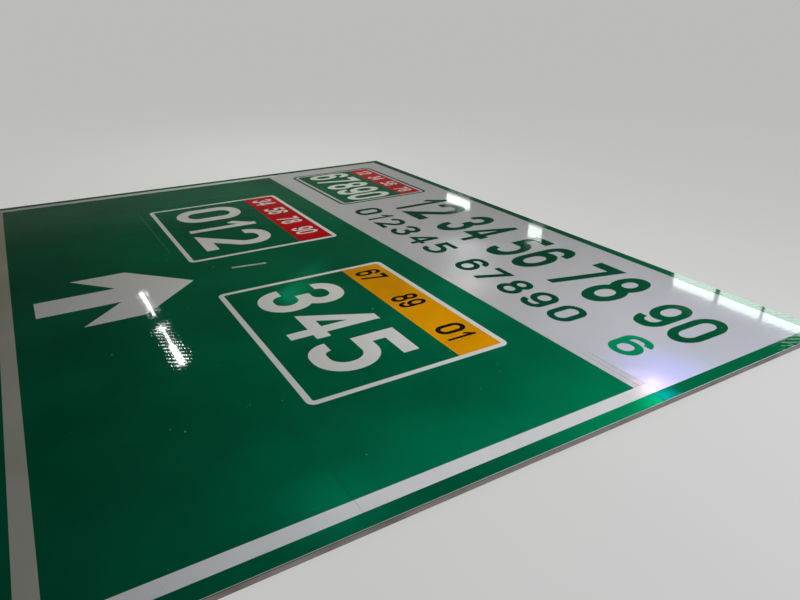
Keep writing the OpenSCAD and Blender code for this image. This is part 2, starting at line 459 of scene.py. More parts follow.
@dataclass(frozen=True)
class FloorFinish(Finish):
    """Plain pale studio floor that can't be seen from below.

    Attributes:
        evenness: how much of it is the same whatever light falls there.
    """

    name: str = "studio_floor"
    slot: None = None
    colour: Triple = (0.66, 0.66, 0.65)
    evenness: float = 0.75

    CLOUDS, SHADES, ROUGH, GLOSS = (0.8, 3.0), (0.97, 1.03), 0.85, 0.2

    def far(self, soft: float) -> float:
        """Returns the floor's brightness far off, as a share of its colour, under light of strength soft."""
        return self.evenness + (1.0 - self.evenness) * soft

    def shader(self, graph: Graph) -> bpy.types.Node:
        """Builds the floor's shader.

        Args:
            graph: the material's tree.

        Returns:
            The shader's node.
        """
        pale = graph.node("BsdfPrincipled", {
            "Base Color": graph.shade(self.colour, graph.cloud(self.CLOUDS, self.SHADES)),
            "Roughness": self.ROUGH,
            "Specular IOR Level": self.GLOSS,
        })
        even = graph.node("Emission", {"Color": rgba(self.colour), "Strength": 1.0})
        calm = graph.node("MixShader", {0: self.evenness, 1: pale.outputs[0], 2: even.outputs[0]})
        clear = graph.node("BsdfTransparent")
        under = graph.node("NewGeometry").outputs["Backfacing"]
        return graph.node("MixShader", {0: under, 1: calm.outputs[0], 2: clear.outputs[0]})


# A darker, warmer grey than the rails' metal: painted shade on the edge angles.
SHADED_ANGLE_GREY = (0.44, 0.395, 0.38)


class Look(Enum):
    """The panel's finishes. A slot's first one is for its CAD nodes, unless another is named for them."""

    # The green film paints shade on a stretch of its strip beyond the right border.
    GREEN = FilmFinish("green_film", Slot.GREEN, (0.0003, 0.150, 0.070), gleam=0.25, painted_strip_shade=0.42)
    WHITE = FilmFinish("white_film", Slot.WHITE, (0.90, 0.90, 0.91), mottle=0.04, ripple_depth=0.00007)
    RED = FilmFinish("red_film", Slot.RED, (0.56, 0.005, 0.008))
    AMBER = FilmFinish("amber_film", Slot.AMBER, (0.98, 0.405, 0.0005), gleam=0.25)
    BLACK = FilmFinish("black_film", Slot.BLACK, (0.012, 0.012, 0.012), mottle=0.0)
    SHEET = AluminiumFinish("rolled_sheet", Slot.SHEET, (0.42, 0.43, 0.41), Grain.ALONG_X)
    RAIL = AluminiumFinish(
        "extruded_along_x", Slot.EXTRUSION, (0.82, 0.81, 0.79), Grain.ALONG_X, 0.28, 0.00018, 0.15)
    # A darker, bluish copy of the white film: painted shade and a painted cool tint of light on the band and
    # its top tape.
    BAND = FilmFinish("band_white_film_shaded", Slot.WHITE, (0.61, 0.605, 0.67), mottle=0.04, ripple_depth=0.00006)
    # A darker copy of the white film: painted shade on the side tapes.
    TAPE = FilmFinish("tape_white_film_shaded", Slot.WHITE, (0.76, 0.76, 0.78), mottle=0.04, ripple_depth=0.00004)
    # A darker, yellowish copy of the white film: painted shade and painted warm light on the bottom tape.
    WARM_SHADED_WHITE = FilmFinish("warm_shaded_white_film", Slot.WHITE, (0.56, 0.55, 0.49), mottle=0.10, ripple_depth=0.00002)
    # A darker copy of the green film: painted shade on the edge strips.
    STRIP = FilmFinish("strip_green_film_shaded", Slot.GREEN, (0.0003, 0.118, 0.056), gleam=0.25)
    DARK = FilmFinish("dark_green_film", Slot.GREEN, (0.001, 0.080, 0.040), gleam=0.2)
    # A lighter copy of the green film: painted light on the band's last numeral, by the glowing corner.
    BRIGHT = FilmFinish("bright_green_film_lit", Slot.GREEN, (0.001, 0.27, 0.125), gleam=0.15)
    CARRIER = CarrierFinish("carrier_plastic", Slot.WHITE, (0.50, 0.56, 0.50))
    SCRATCH = CarrierFinish("scratched_film", Slot.GREEN, (0.10, 0.26, 0.18))
    LAP_LINE = CarrierFinish("lap_line", Slot.WHITE, (0.34, 0.27, 0.38))
    # Near-black plastic: painted shade in the joint under the sheets' cut faces.
    JOINT_SHADE = CarrierFinish("joint_painted_shade", Slot.BLACK, (0.020, 0.024, 0.020))
    CUT = AluminiumFinish("cut_edge", Slot.SHEET, (0.96, 0.98, 0.94), Grain.ALONG_Y, 0.45, 0.00005, 0.1, 0.05)
    EDGE_X = AluminiumFinish("edge_along_x", Slot.EXTRUSION, SHADED_ANGLE_GREY, Grain.ALONG_X, 0.40, 0.00015, 0.6)
    EDGE_Y = AluminiumFinish("edge_along_y", Slot.EXTRUSION, SHADED_ANGLE_GREY, Grain.ALONG_Y, 0.40, 0.00015, 0.6)

    @cached_property
    def material(self) -> Material:
        """Builds the finish's material when it is first asked for, and returns it."""
        return self.value.material()


NODE_LOOKS = {
    # The band and its top tape take the white film's copy with painted shade.
    "ground_film_upper": Look.BAND,
    "border_tape_top": Look.BAND,
    # The bottom tape takes the white film's copy with painted shade and painted warm light.
    "border_tape_bottom": Look.WARM_SHADED_WHITE,
    "edge_angle_left": Look.EDGE_Y,
    "edge_angle_right": Look.EDGE_Y,
}
# The side tapes, the edge strips and the edge angles take copies of their finishes with painted shade.
KIND_LOOKS = {"border_tape": Look.TAPE, "edge_strip": Look.STRIP, "edge_angle": Look.EDGE_X}


def dress_frame() -> None:
    """Gives every CAD node its own finish, or its kind's, or the first one of its slot."""
    slots = {part["node"]: Slot(part["material_slot"]) for part in frame["record"]["subparts"]}
    for name, obj in frame["nodes"].items():
        first = next(look for look in Look if look.value.slot is slots[name])
        look = NODE_LOOKS.get(name) or KIND_LOOKS.get(name.rpartition("_")[0]) or first
        obj.data.materials.clear()
        obj.data.materials.append(look.material)
    log.info("dressed %d CAD nodes", len(frame["nodes"]))


def add_piece(name: str, bm: BMesh, look: Look) -> None:
    """Turns a mesh in millimetres into a finished piece of the panel.

    Args:
        name: the piece's name.
        bm: its mesh, which is freed.
        look: its finish.
    """
    bmesh.ops.scale(bm, vec=(MM, MM, MM), verts=bm.verts)
    mesh = mesh_of(bm, name)
    mesh.materials.append(look.material)
    obj = show(name, mesh)
    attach(obj, BODY)
    log.info("made %s with %d faces", name, len(mesh.polygons))


def add_copy(bm: BMesh, mesh: Mesh, place: Matrix) -> None:
    """Adds a copy of a mesh to another one.

    Args:
        bm: the mesh that grows.
        mesh: what is copied.
        place: where the copy goes.
    """
    count = len(bm.verts)
    bm.from_mesh(mesh)
    bm.verts.ensure_lookup_table()
    bmesh.ops.transform(bm, matrix=place, verts=bm.verts[count:])


def only(kind: type, items: list) -> list:
    """Returns the verts or the edges among an operator's results."""
    return [item for item in items if isinstance(item, kind)]


def add_block(bm: BMesh, size: Vector, place: Matrix, bevel: float, upper: bool = False) -> None:
    """Adds a box with rounded edges to a mesh.

    Args:
        bm: the mesh that grows.
        size: the box's size.
        place: where its middle goes.
        bevel: how round its edges are.
        upper: whether only its upper edges are rounded.
    """
    made = bmesh.ops.create_cube(bm, size=1.0)["verts"]
    bmesh.ops.scale(bm, vec=size, verts=made)
    edges = {edge for vert in made for edge in vert.link_edges}
    soft = [edge for edge in edges if not upper or all(vert.co.z > 0 for vert in edge.verts)]
    bevelled = bmesh.ops.bevel(
        bm, geom=soft, offset=bevel, affect="EDGES", segments=2, profile=0.5, material=-1)["verts"]
    verts = {vert for vert in made if vert.is_valid} | set(bevelled)
    bmesh.ops.transform(bm, matrix=place, verts=list(verts))


@dataclass(frozen=True)
class Stroke:
    """A band of even width along a path with rounded or mitred corners.

    The path belongs to a numeral one unit high whose middle is at the origin.

    Attributes:
        points: the path's points.
        radii: the radius of each corner in turn; 0 leaves a sharp, mitred corner.
        closed: whether the path runs on to its start, with a corner at every point.
        width: the band's width.
    """

    points: tuple[Pair, ...]
    radii: tuple[float, ...] = ()
    closed: bool = False
    width: float = 0.17

    ARC_STEP = math.radians(9.0)
    JOIN = 1e-4

    def band(self) -> BMesh:
        """Draws the band as a flat mesh.

        Returns:
            The mesh, whose faces look up.
        """
        bm = bmesh.new()
        points = [Vector((x, y, 0.0)) for x, y in self.points]
        if self.closed:
            start = (points[-1] + points[0]) / 2
            points = [start, *points, start]
        legs = [(b - a).normalized() for a, b in zip(points, points[1:])]
        half = Vector((-legs[0].y, legs[0].x, 0.0)) * self.width / 2
        pen = bm.edges.new((bm.verts.new(points[0] + half), bm.verts.new(points[0] - half)))
        for corner, into, out, radius in zip(points[1:], legs, legs[1:], self.radii):
            turn = math.atan2(into.cross(out).z, into.dot(out))
            if radius == 0.0:
                pen = self.run(bm, pen, into, corner, into + out)
                continue
            start = corner - into * radius * math.tan(abs(turn) / 2)
            pen = self.run(bm, pen, into, start, into)
            inward = Vector((-into.y, into.x, 0.0)) * math.copysign(radius, turn)
            pen = self.swing(bm, pen, start + inward, turn)
        self.run(bm, pen, legs[-1], points[-1], legs[-1])
        bmesh.ops.remove_doubles(bm, verts=bm.verts, dist=self.JOIN)
        bmesh.ops.recalc_face_normals(bm, faces=bm.faces)
        if bm.faces[:][0].normal.z < 0:
            bmesh.ops.reverse_faces(bm, faces=bm.faces)
        return bm

    def run(self, bm: BMesh, pen: BMEdge, heading: Vector, stop: Vector, across: Vector) -> BMEdge:
        """Draws the pen's edge straight on until it lies in a plane.

        Args:
            bm: the mesh.
            pen: the edge that draws.
            heading: the way it goes.
            stop: a point in the plane where it stops.
            across: the plane's normal.

        Returns:
            The edge at its new place.
        """
        ends = only(bmesh.types.BMVert, bmesh.ops.extrude_edge_only(bm, edges=[pen])["geom"])
        for vert in ends:
            vert.co += heading * (stop - vert.co).dot(across) / heading.dot(across)
        return bm.edges.get(ends)

    def swing(self, bm: BMesh, pen: BMEdge, centre: Vector, turn: float) -> BMEdge:
        """Swings the pen's edge round a corner.

        Args:
            bm: the mesh.
            pen: the edge that draws.
            centre: the corner's centre.
            turn: how far it turns, in radians, to the left if above 0.

        Returns:
            The edge at its new place.
        """
        steps = max(2, round(abs(turn) / self.ARC_STEP))
        spun = bmesh.ops.spin(
            bm, geom=[pen, *pen.verts], cent=centre, axis=(0.0, 0.0, 1.0), angle=turn, steps=steps)
        return only(BMEdge, spun["geom_last"])[0]

    def solid(self) -> bpy.types.Object:
        """Raises the band into a solid of unit thickness.

        Returns:
            A scratch object that holds it.
        """
        bm = self.band()
        raised = bmesh.ops.extrude_face_region(bm, geom=bm.faces[:])["geom"]
        bmesh.ops.translate(bm, vec=(0, 0, 1), verts=only(bmesh.types.BMVert, raised))
        bmesh.ops.recalc_face_normals(bm, faces=bm.faces)
        return show("stroke", mesh_of(bm, "stroke"))


def rounded(*points: Pair, radius: float) -> Stroke:
    """Returns an open stroke through points whose corners all have one radius."""
    return Stroke(points, (radius,) * (len(points) - 2))


def looped(half: float, low: float, high: float, radius: float) -> Stroke:
    """Returns a closed stroke round a box with equal corners, which is half wide to either side."""
    return Stroke(((-half, low), (half, low), (half, high), (-half, high)), (radius,) * 4, True)


SIX = (
    rounded((0.225, 0.21), (0.225, 0.415), (-0.235, 0.415), (-0.235, -0.2), radius=0.2),
    looped(0.235, -0.415, 0.10, 0.23),
)
STROKES = {
    "0": (looped(0.235, -0.415, 0.415, 0.234),),
    "1": (Stroke(((0.0, -0.6), (0.0, 0.6))), Stroke(((-0.30, 0.16), (0.03, 0.45)), width=0.14)),
    "2": (Stroke(((-0.235, 0.19), (-0.235, 0.415), (0.235, 0.415), (0.235, 0.05), (-0.16, -0.415),
                  (0.32, -0.415)), (0.22, 0.22, 0.234, 0.0)),),
    "3": (rounded((-0.225, 0.22), (-0.225, 0.415), (0.21, 0.415), (0.21, 0.03), (-0.07, 0.03), radius=0.19),
          rounded((-0.07, 0.03), (0.235, 0.03), (0.235, -0.415), (-0.235, -0.415), (-0.235, -0.19),
                  radius=0.22)),
    "4": (Stroke(((0.11, -0.6), (0.11, 0.6))),
          Stroke(((0.16, 0.56), (-0.29, -0.19), (0.32, -0.19)), (0.0,), width=0.15)),
    "5": (Stroke(((0.27, 0.415), (-0.20, 0.415), (-0.20, 0.10), (0.235, 0.10), (0.235, -0.415),
                  (-0.235, -0.415), (-0.235, -0.25)), (0.0, 0.0, 0.25, 0.25, 0.16)),),
    "6": SIX,
    "7": (Stroke(((-0.29, 0.415), (0.235, 0.415), (-0.14, -0.6)), (0.0,)),),
    "8": (looped(0.205, 0.03, 0.415, 0.19), looped(0.235, -0.415, 0.03, 0.22)),
    "9": SIX,
}
NARROW = {"1": 0.45}


@cache
def numeral(character: str) -> Mesh:
    """Cuts a numeral from its strokes, once.

    Args:
        character: which numeral; the 9 is a 6 turned round.

    Returns:
        A mesh that fills a cube of one unit that stands on Z 0, in the middle of X and Y.
    """
    whole, *others = (stroke.solid() for stroke in STROKES[character])
    for other in others:
        union = whole.modifiers.new("union", "BOOLEAN")
        union.operation = "UNION"
        union.solver = "EXACT"
        union.object = other
    mesh = bpy.data.meshes.new_from_object(whole.evaluated_get(bpy.context.evaluated_depsgraph_get()))
    for solid in (whole, *others):
        bpy.data.meshes.remove(solid.data)
    bm = bmesh.new()
    bm.from_mesh(mesh)
    if character == "9":
        bmesh.ops.rotate(bm, cent=(0, 0, 0), matrix=Matrix.Rotation(math.pi, 3, "Z"), verts=bm.verts)
    for side in (-0.5, 0.5):
        cut = bmesh.ops.bisect_plane(
            bm, geom=[*bm.verts, *bm.edges, *bm.faces], plane_co=(0, side, 0), plane_no=(0, side, 0),
            clear_outer=True)
        bmesh.ops.holes_fill(bm, edges=only(BMEdge, cut["geom_cut"]))
    low = min(vert.co.x for vert in bm.verts)
    high = max(vert.co.x for vert in bm.verts)
    bmesh.ops.translate(bm, vec=(-(low + high) / 2, 0, 0), verts=bm.verts)
    bmesh.ops.scale(bm, vec=(1 / (high - low), 1, 1), verts=bm.verts)
    bm.to_mesh(mesh)
    bm.free()
    return mesh


@dataclass(frozen=True)
class Run:
    """A run of numerals that fills a box on the face.

    Attributes:
        text: the numerals.
        node: the CAD node that they lie on.
        centre: the box's middle, as X and Y.
        size: the box's width and height.
        gap: space between two numerals, as a share of a wide numeral's width.
    """

    text: str
    node: str
    centre: Pair
    size: Pair
    gap: float = 0.20

    def lay(self, bm: BMesh) -> None:
        """Adds the numerals to a mesh.

        Args:
            bm: the mesh that grows.
        """
        base = node_box(self.node)[1].z
        widths = [NARROW.get(character, 1.0) for character in self.text]
        unit = self.size[0] / (sum(widths) + self.gap * (len(widths) - 1))
        left = self.centre[0] - self.size[0] / 2
        for character, width in zip(self.text, widths):
            place = Matrix.Translation((left + width * unit / 2, self.centre[1], base))
            scale = Matrix.Diagonal((width * unit, self.size[1], FILM_THICKNESS, 1.0))
            add_copy(bm, numeral(character), place @ scale)
            left += (width + self.gap) * unit


def pairs(texts: tuple[str, ...], node: str, first: Pair, pitch: float, size: Pair) -> list[Run]:
    """Returns runs for pairs of numerals in an even row on a node, from the first one's middle on."""
    return [Run(text, node, (first[0] + place * pitch, first[1]), size) for place, text in enumerate(texts)]


@dataclass(frozen=True)
class Numerals:
    """One piece of numerals.

    Attributes:
        name: the piece's name.
        look: its finish.
        runs: its runs of numerals.
    """

    name: str
    look: Look
    runs: list[Run]

    def build(self) -> None:
        """Builds the piece."""
        bm = bmesh.new()
        for run in self.runs:
            run.lay(bm)
        add_piece(self.name, bm, self.look)


NUMERALS = (
    Numerals("left_shield_numerals", Look.WHITE, [
        Run("012", "ground_film_middle", (-963.5, -277.5), (1039.0, 501.0), 0.25)]),
    Numerals("left_shield_head_numerals", Look.WHITE, pairs(
        ("34", "56", "78", "90"), "shield_head_left", (-1421.0, 221.0), 296.0, (160.0, 168.0))),
    Numerals("right_shield_numerals", Look.WHITE, [
        Run("345", "ground_film_middle", (968.5, -277.5), (1039.0, 501.0))]),
    Numerals("right_shield_head_numerals", Look.BLACK, pairs(
        ("67", "89", "01"), "shield_head_right", (511.0, 221.0), 444.0, (160.0, 168.0))),
    Numerals("band_large_numerals", Look.DARK, [
        *pairs(("12", "34", "56", "78"), "ground_film_upper", (-534.0, 1340.0), 620.0, (460.0, 500.0)),
        Run("90", "ground_film_upper", (1930.0, 1282.0), (385.0, 385.0))]),
    Numerals("band_small_numerals", Look.DARK, [
        Run("012345", "ground_film_upper", (-197.0, 859.0), (1201.0, 224.0), 0.32),
        Run("67890", "ground_film_upper", (1116.0, 859.0), (1014.0, 224.0), 0.32)]),
    # The band's last numeral takes the green film's lighter copy: painted light.
    Numerals("band_end_numeral", Look.BRIGHT, [
        Run("6", "ground_film_upper", (1969.0, 867.0), (169.0, 224.0))]),
    Numerals("band_shield_numerals", Look.WHITE, [
        Run("67890", "band_shield_field", (-1560.0, 1090.0), (990.0, 400.0)),
        *pairs(("12", "34", "56", "78"), "band_shield_head", (-1940.0, 1459.0), 760.0 / 3, (132.0, 138.0))]),
)


@dataclass
class Rivets:
    """The blind rivets that show on the panel's back.

    Attributes:
        radius: the head's radius.
        height: how far the head stands out.
        pitch: distance between two rivets in a row.
        end: distance from a row's last rivet to the piece's end.
        rail_offset: distance of a row from the rail's centre line.
        flange: thickness of the rail's flange under its rivets.
        strip_offset: distance of a row from the seam.
        edge_offset: distance of a row from the panel's edge.
        sides: how many sides a head has.
        profile: the head's outline from its hollow middle to its rim, as shares of radius and height.
    """

    radius: float = 4.75
    height: float = 1.7
    pitch: float = 150.0
    end: float = 50.0
    rail_offset: float = 36.0
    flange: float = 2.0
    strip_offset: float = 18.0
    edge_offset: float = 13.0
    sides: int = 10
    profile: tuple[Pair, ...] = ((0.0, 0.6), (0.22, 0.65), (0.34, 1.0), (0.72, 0.88), (1.0, 0.35), (1.0, 0.0))

    JOIN = 0.001

    def head(self) -> Mesh:
        """Turns one rivet head, which hangs from Z 0.

        Returns:
            Its mesh.
        """
        bm = bmesh.new()
        verts = [bm.verts.new((out * self.radius, 0.0, -down * self.height)) for out, down in self.profile]
        edges = [bm.edges.new(pair) for pair in zip(verts, verts[1:])]
        bmesh.ops.spin(bm, geom=[*verts, *edges], cent=(0, 0, 0), axis=(0, 0, 1), angle=math.tau,
                       steps=self.sides, use_merge=True)
        bmesh.ops.remove_doubles(bm, verts=bm.verts, dist=self.JOIN)
        bmesh.ops.holes_fill(bm, edges=[edge for edge in bm.edges if edge.is_boundary])
        bmesh.ops.recalc_face_normals(bm, faces=bm.faces)
        for face in bm.faces:
            face.smooth = True
        return mesh_of(bm, "rivet_head")

    def row(self, bm: BMesh, head: Mesh, start: Vector, end: Vector) -> None:
        """Adds an even row of rivets.

        Args:
            bm: the mesh that grows.
            head: one rivet head.
            start: where the first rivet goes.
            end: where the last one goes.
        """
        count = round((end - start).length / self.pitch)
        for place in range(count + 1):
            add_copy(bm, head, Matrix.Translation(start.lerp(end, place / count)))

    def build(self) -> None:
        """Builds the rivets of the rails, the seam strips and the edge angles."""
        head = self.head()
        for start, offset in (("rail", self.rail_offset), ("seam", self.strip_offset)):
            bm = bmesh.new()
            for name in sorted(node for node in frame["nodes"] if node.startswith(start)):
                low, high = node_box(name)
                z = high.z - self.flange if start == "rail" else low.z
                for y in ((low.y + high.y) / 2 + side * offset for side in (-1, 1)):
                    self.row(bm, head, Vector((low.x + self.end, y, z)), Vector((high.x - self.end, y, z)))
            add_piece(start + "_rivets", bm, Look.RAIL)
        low, high = node_box("edge_angle_bottom")[0], node_box("edge_angle_top")[1]
        z = node_box("seam_strip_lower")[0].z
        bm = bmesh.new()
        for y in (low.y + self.edge_offset, high.y - self.edge_offset):
            self.row(bm, head, Vector((low.x + self.end, y, z)), Vector((high.x - self.end, y, z)))
        for x in (low.x + self.edge_offset, high.x - self.edge_offset):
            self.row(bm, head, Vector((x, low.y + 2 * self.end, z)), Vector((x, high.y - 2 * self.end, z)))
        add_piece("edge_rivets", bm, Look.RAIL)


@dataclass
class CutEdges:
    """The bright, deburred faces where the sheets were cut, and a black strip of painted shade in the joint
    below them, all round.

    Attributes:
        proud: how far they stand out from the edge angles.
        drop: how far they stop short of the sheet's upper and lower face.
        bevel: how round they are.
        joint: how tall the painted shade in the joint is.
        joint_proud: how far that painted shade stands out.
    """

    proud: float = 0.6
    drop: float = 0.05
    bevel: float = 0.25
    joint: float = 3.4
    joint_proud: float = 0.3

    def bar(self, bm: BMesh, low: Vector, high: Vector) -> None:
        """Adds one bar to a mesh, from its lowest corner to its highest."""
        add_block(bm, high - low, Matrix.Translation((low + high) / 2), self.bevel)

    def ring(self, bm: BMesh, proud: float, bottom: float, top: float) -> None:
        """Lays bars along all outer edges of the sheets.

        Args:
            bm: the mesh that grows.
            proud: how far the bars stand out.
            bottom: their lowest Z.
            top: their highest Z.
        """
        for name in ("sheet_lower", "sheet_middle", "sheet_upper"):
            low, high = node_box(name)
            start, stop = low.y + self.drop, high.y - self.drop
            for x in (low.x, high.x):
                self.bar(bm, Vector((x - proud, start, bottom)), Vector((x + proud, stop, top)))
            if name != "sheet_middle":
                y = low.y if name == "sheet_lower" else high.y
                self.bar(bm, Vector((low.x, y - proud, bottom)), Vector((high.x, y + proud, top)))

    def build(self) -> None:
        """Lays the cut faces and the painted shade in the joint."""
        low, high = node_box("sheet_middle")
        bm = bmesh.new()
        self.ring(bm, self.proud, low.z + self.drop, high.z - self.drop)
        add_piece("sheet_cut_edges", bm, Look.CUT)
        bm = bmesh.new()
        # A black strip in the joint: painted shade.
        self.ring(bm, self.joint_proud, low.z - self.joint, low.z)
        add_piece("edge_joint_painted_shade", bm, Look.JOINT_SHADE)


@dataclass(frozen=True)
class Strip:
    """A thin strip with chamfered upper edges, which lies on the face.

    Attributes:
        width: its width.
        thickness: its thickness.
        chamfer: the size of the chamfer.
    """

    width: float
    thickness: float
    chamfer: float

    def lay(self, bm: BMesh, start: Vector, end: Vector) -> None:
        """Adds one strip to a mesh.

        Args:
            bm: the mesh that grows.
            start: the middle of one end, at the height that it lies on.
            end: the middle of the other end.
        """
        run = end - start
        middle = (start + end) / 2 + Vector((0, 0, self.thickness / 2))
        place = Matrix.Translation(middle) @ Matrix.Rotation(math.atan2(run.y, run.x), 4, "Z")
        add_block(bm, Vector((run.length, self.width, self.thickness)), place, self.chamfer, upper=True)

    def build(self, name: str, ends: list[list[Triple]], look: Look) -> None:
        """Builds one piece of such strips.

        Args:
            name: the piece's name.
            ends: the middles of both ends of each strip.
            look: the piece's finish.
        """
        bm = bmesh.new()
        for start, end in ends:
            self.lay(bm, Vector(start), Vector(end))
        add_piece(name, bm, look)


@dataclass
class SeamLap:
    """The narrow lap of green film over the lower seam, and the thin lines of the upper seam and its tape.

    Attributes:
        lap: the lap.
        line: the thin lines at the right end of the upper seam and of its tape.
        line_length: how long those lines are.
    """

    lap: Strip = Strip(7.0, 0.18, 0.15)
    line: Strip = Strip(3.2, 0.18, 0.075)
    line_length: float = 340.0

    def build(self) -> None:
        """Lays the lap between the green field's outer edges, and the lines."""
        low, high = node_box("ground_film_lower")
        left, right = node_box("border_tape_left"), node_box("border_tape_right")
        gaps = ((low.x, left[0].x), (left[1].x, right[0].x), (right[1].x, high.x))
        self.lap.build("seam_lap_lower", [[(x, high.y, high.z) for x in gap] for gap in gaps], Look.GREEN)
        seam, tape = node_box("sheet_upper")[0].y, node_box("border_tape_top")[1]
        lines = [[(x, y, tape.z) for x in (tape.x - self.line_length, tape.x)] for y in (seam, tape.y)]
        self.line.build("tape_lap_lines", lines, Look.LAP_LINE)
        strip = node_box("edge_strip_right")[1]
        self.line.build("seam_line_right", [[(x, seam, strip.z) for x in (right[1].x, strip.x)]], Look.BLACK)


@dataclass
class Litter:
    """Small marks on the face: a scrap of pale carrier strip, a long scratch, and crumbs.

    Attributes:
        scrap: the scrap of carrier strip.
        scrap_ends: where its ends lie.
        scratch: a long scratch that shows pale in the green film.
        scratch_ends: where its ends lie.
        crumbs: how many crumbs there are.
        crumb_sizes: the smallest and largest crumb.
        seed: what the crumbs' places are drawn from.
    """

    scrap: Strip = Strip(24.0, 0.4, 0.4 / 3)
    scrap_ends: tuple[Pair, Pair] = ((-28.0, -262.0), (-58.0, -478.0))
    scratch: Strip = Strip(2.4, 0.15, 0.1)
    scratch_ends: tuple[Pair, Pair] = ((-1624.0, -764.0), (-546.0, -753.0))
    crumbs: int = 90
    crumb_sizes: Pair = (1.2, 3.6)
    seed: int = 7

    # What a crumb's size is scaled by again, then its corners, its width, its height and its middle's height.
    VARY, DENTS, NARROW, FLAT, RAISED = (0.6, 1.4), (0.75, 1.2), (0.5, 0.9), 0.4, 0.25

    def build(self) -> None:
        """Scatters the litter."""
        base = node_box("ground_film_middle")[1].z
        self.scrap.build("carrier_scrap", [[(*end, base) for end in self.scrap_ends]], Look.CARRIER)
        self.scratch.build("pale_scratch", [[(*end, base) for end in self.scratch_ends]], Look.SCRATCH)
        draw = random.Random(self.seed)
        low, high = node_box("ground_film_lower")[0], node_box("ground_film_upper")[1]
        bm = bmesh.new()
        for _ in range(self.crumbs):
            size = draw.uniform(*self.crumb_sizes) * draw.uniform(*self.VARY)
            made = bmesh.ops.create_icosphere(bm, subdivisions=1, radius=1.0)["verts"]
            for vert in made:
                vert.co *= draw.uniform(*self.DENTS)
            x, y = draw.uniform(low.x, high.x), draw.uniform(low.y, high.y)
            place = Matrix.Translation((x, y, high.z + self.RAISED * size))
            shape = Matrix.Diagonal((size, size * draw.uniform(*self.NARROW), self.FLAT * size, 1.0))
            turn = Matrix.Rotation(draw.uniform(0, math.tau), 4, "Z")
            bmesh.ops.transform(bm, matrix=place @ turn @ shape, verts=made)
        add_piece("crumbs", bm, Look.CARRIER)


class Reach(Enum):
    """What a lamp lights: matt colour alone or gloss alone."""

    MATT = (True, False)
    GLOSS = (False, True)


WHITE = (1.0, 1.0, 1.0)
COOL = (0.77, 0.81, 1.0)
WARM = (1.0, 1.0, 0.83)
MINT = (0.86, 1.0, 0.92)
PANE_Y = 8000


@dataclass(frozen=True)
class Lamp:
    """One soft rectangular lamp.

    Attributes:
        name: its name.
        place: where it hangs.
        size: its width and height.
        glow: how bright its face is.
        colour: its colour.
        spread: the angle of the cone that its light keeps to, in degrees.
        nodes: the CAD nodes and pieces that it lights, if it doesn't light everything.
        aim: the point that it faces, if it doesn't face straight down.
        reach: what it lights.
    """

    name: str
    place: Triple
    size: Pair
    glow: float
    colour: Triple = WHITE
    spread: float = 180.0
    nodes: tuple[str, ...] = ()
    aim: Triple | None = None
    reach: Reach = Reach.MATT

    def build(self) -> None:
        """Hangs the lamp, out of the camera's sight."""
        place = Vector(self.place)
        light = bpy.data.lights.new(self.name, "AREA")
        light.shape = "RECTANGLE"
        light.size, light.size_y = (side * MM for side in self.size)
        light.energy = self.glow * math.pi * light.size * light.size_y
        light.spread = math.radians(self.spread)
        light.color = self.colour
        obj = show(self.name, light)
        way = Vector(self.aim) - place if self.aim else Vector((0.0, 0.0, -1.0))
        obj.matrix_world = Matrix.Translation(place * MM) @ way.to_track_quat("-Z", "Y").to_matrix().to_4x4()
        obj.visible_camera = False
        obj.visible_diffuse, obj.visible_glossy = self.reach.value
        if self.nodes:
            lit = bpy.data.collections.new(self.name + "_lights")
            for name in self.nodes:
                lit.objects.link(frame["nodes"].get(name) or bpy.data.objects[name])
            obj.light_linking.receiver_collection = lit
        log.info("hung %s", self.name)


def mirrored(name: str, place: Triple, size: Pair, glow: float, aim: Triple | None = None) -> Lamp:
    """Returns a white lamp that only the gloss sees."""
    return Lamp(name, place, size, glow, aim=aim, reach=Reach.GLOSS)


def pane(name: str, x: float, z: float, size: Pair, glow: float) -> Lamp:
    """Returns a lamp far behind the top edge, which only the gloss sees."""
    return Lamp(name, (x, PANE_Y, z), size, glow, MINT, aim=(x, 0, z), reach=Reach.GLOSS)


FIELD = ("ground_film_middle",)
UPPER = ("ground_film_upper",)
BAND = ("ground_film_upper", "border_tape_top")
STRIP = ("ground_film_middle", "edge_strip_right")


